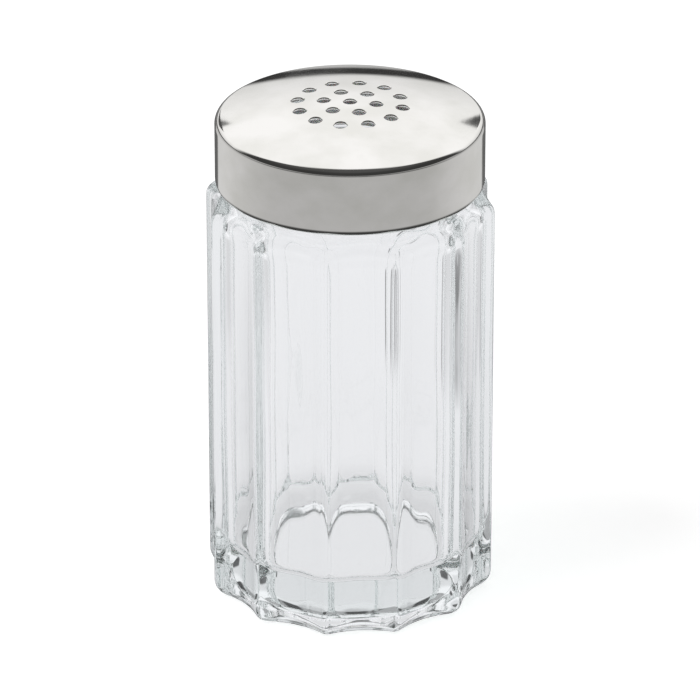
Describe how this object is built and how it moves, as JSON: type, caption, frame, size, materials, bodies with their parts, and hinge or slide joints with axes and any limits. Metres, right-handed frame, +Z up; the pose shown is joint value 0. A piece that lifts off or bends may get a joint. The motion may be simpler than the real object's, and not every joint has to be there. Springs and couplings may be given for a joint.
{
  "type": "glass spice shaker with screw-on perforated lid",
  "caption": "Fluted clear glass jar with a domed, perforated polished steel lid that screws onto a threaded neck, for shaking out salt or ground spice.",
  "frame": {"origin": "centre of the face that the jar stands on", "axes": "+Z up along the jar's axis; +X and -Y each point at a rib, and the picture looks along +Y from the front, turned 11 degrees to the right"},
  "size_m": [0.0442, 0.0442, 0.0801],
  "materials": {
    "clear_glass": "clear pressed soda-lime glass, fire-polished",
    "seal_foam": "soft off-white sealing washer",
    "insert_plastic": "moulded white polypropylene",
    "polished_steel": "mirror-polished drawn stainless steel"
  },
  "bodies": {
    "jar": {"glass_jar": "clear_glass"},
    "seal": {"sealing_ring": "seal_foam"},
    "lid": {"steel_cap": "polished_steel", "threaded_insert": "insert_plastic"}
  },
  "joints": [
    {"name": "lid_lift", "type": "slide", "parent": "jar", "child": "seal", "axis": [0, 0, 1], "range_m": [0, 0.01226]},
    {"name": "lid_turn", "type": "hinge", "parent": "seal", "child": "lid", "pos_m": [0, 0, 0.0744], "axis": [0, 0, 1], "range_deg": [0, 1260]}
  ],
  "couplings": [
    {"joint": "lid_lift", "follows": "lid_turn", "m_per_rad": 0.00055704}
  ]
}
